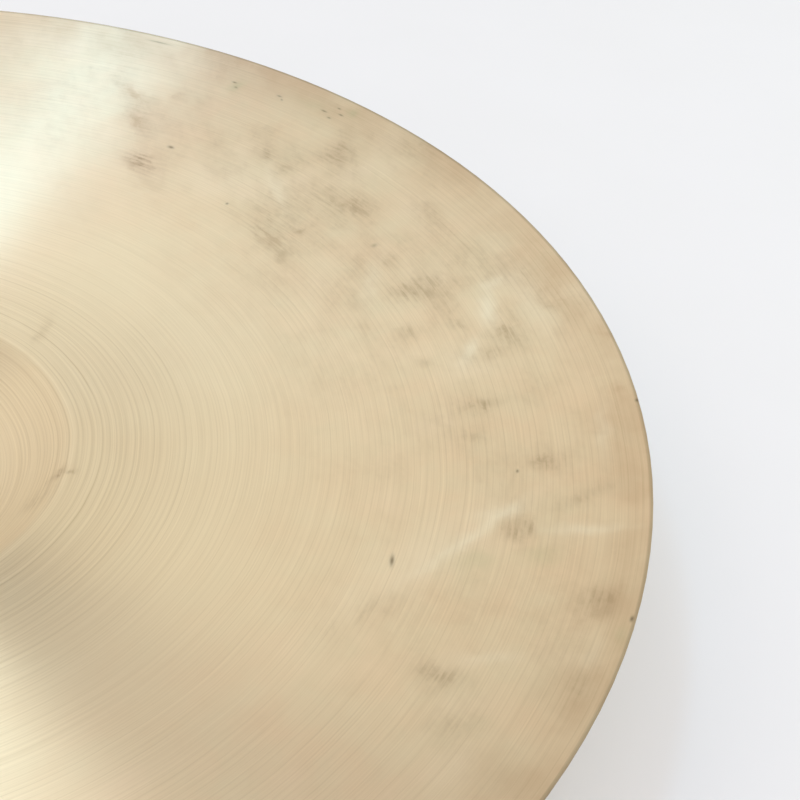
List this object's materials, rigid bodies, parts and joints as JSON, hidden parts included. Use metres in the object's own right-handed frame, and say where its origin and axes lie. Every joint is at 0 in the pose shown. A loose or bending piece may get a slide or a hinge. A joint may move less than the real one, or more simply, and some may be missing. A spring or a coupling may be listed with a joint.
{
  "type": "crash cymbal",
  "caption": "Medium-size crash cymbal: a lathed bronze disc with a raised bell, a gently curved bow and a centre hole for a stand.",
  "frame": {"origin": "on the hole's axis, at the outer face of the bell's crown, which is the face the cymbal lies on", "axes": "+Z along the hole's axis, from the crown towards the open, concave side, so the cymbal lies bell down as it was stored"},
  "size_m": [0.4064, 0.4064, 0.041],
  "materials": {
    "cymbal_bronze": "lathed tin bronze with fine concentric grooves, satin, lightly tarnished"
  },
  "bodies": {
    "root": {"cymbal": "cymbal_bronze"}
  },
  "joints": []
}
